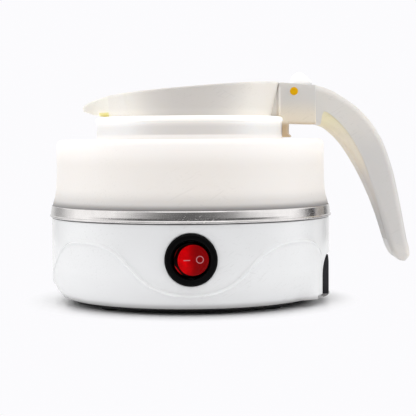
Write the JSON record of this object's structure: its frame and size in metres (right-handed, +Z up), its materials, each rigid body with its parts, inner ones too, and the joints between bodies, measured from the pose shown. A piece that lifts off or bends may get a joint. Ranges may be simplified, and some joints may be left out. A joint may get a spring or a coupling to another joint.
{
  "type": "collapsible kettle",
  "caption": "Folding travel kettle: round heating base with a rocker switch and mains inlet, silicone body that folds flat, spout ring with hinged lid and curved handle.",
  "frame": {"origin": "centre of the base plate's flat underside, on the axis of the round body; the feet stand 1 mm below it", "axes": "+Z up along the body's axis, +X towards the handle, -X towards the beak, -Y towards the switch"},
  "size_m": [0.1792, 0.142, 0.1118],
  "materials": {
    "housing_white": "glossy moulded cool white",
    "ring_white": "satin moulded warm white",
    "base_black": "satin black",
    "foot_rubber": "matt",
    "screw_steel": "zinc plated",
    "pan_steel": "brushed",
    "band_chrome": "polished",
    "body_silicone": "translucent satin off-white",
    "spreader_aluminium": "as cast",
    "element_steel": "heat tinted sheath",
    "ceramic_white": "matt ceramic",
    "switch_black": "satin black",
    "contact_brass": "plated",
    "rocker_red": "translucent red",
    "wire_brown": "satin insulation",
    "wire_blue": "satin insulation",
    "wire_green": "satin insulation",
    "pin_yellow": "satin golden yellow",
    "grip_cream": "satin cream"
  },
  "bodies": {
    "base": {"housing_shell": "housing_white", "base_plate": "base_black", "foot_1": "foot_rubber", "foot_2": "foot_rubber", "foot_3": "foot_rubber", "foot_4": "foot_rubber", "base_screw_1": "screw_steel", "base_screw_2": "screw_steel", "base_screw_3": "screw_steel", "base_screw_4": "screw_steel", "steel_pan": "pan_steel", "steel_band": "band_chrome", "clamp_ring": "pan_steel", "silicone_lower_tier": "body_silicone", "silicone_fold_tier": "body_silicone", "heat_spreader": "spreader_aluminium", "heating_element": "element_steel", "thermostat": "ceramic_white", "thermal_fuse": "ceramic_white", "terminal_block": "ceramic_white", "switch_body": "switch_black", "switch_terminal_1": "contact_brass", "switch_terminal_2": "contact_brass", "inlet_body": "switch_black", "inlet_contact_line": "contact_brass", "inlet_contact_earth": "contact_brass", "inlet_contact_neutral": "contact_brass", "wire_line_in": "wire_brown", "wire_line_out": "wire_brown", "wire_neutral": "wire_blue", "wire_earth": "wire_green"},
    "rocker": {"rocker_button": "rocker_red"},
    "upper": {"silicone_neck_tier": "body_silicone", "spout_ring": "ring_white", "hinge_pin": "pin_yellow", "handle_shell": "ring_white", "handle_insert": "grip_cream", "handle_screw_1": "screw_steel", "handle_screw_2": "screw_steel"},
    "lid": {"lid_cover": "ring_white", "lid_inner_plate": "ring_white", "lid_seal": "body_silicone"}
  },
  "joints": [
    {"name": "upper_slide", "type": "slide", "parent": "base", "child": "upper", "axis": [0, 0, 1], "range_m": [0, 0.052], "deforming": ["silicone_fold_tier"]},
    {"name": "lid_hinge", "type": "hinge", "parent": "upper", "child": "lid", "pos_m": [0.051, 0, 0.1022], "axis": [0, 1, 0], "range_deg": [0, 82]},
    {"name": "rocker_pivot", "type": "hinge", "parent": "base", "child": "rocker", "pos_m": [0, -0.0667, 0.0249], "axis": [0, 0, -1], "range_deg": [0, 16]}
  ]
}
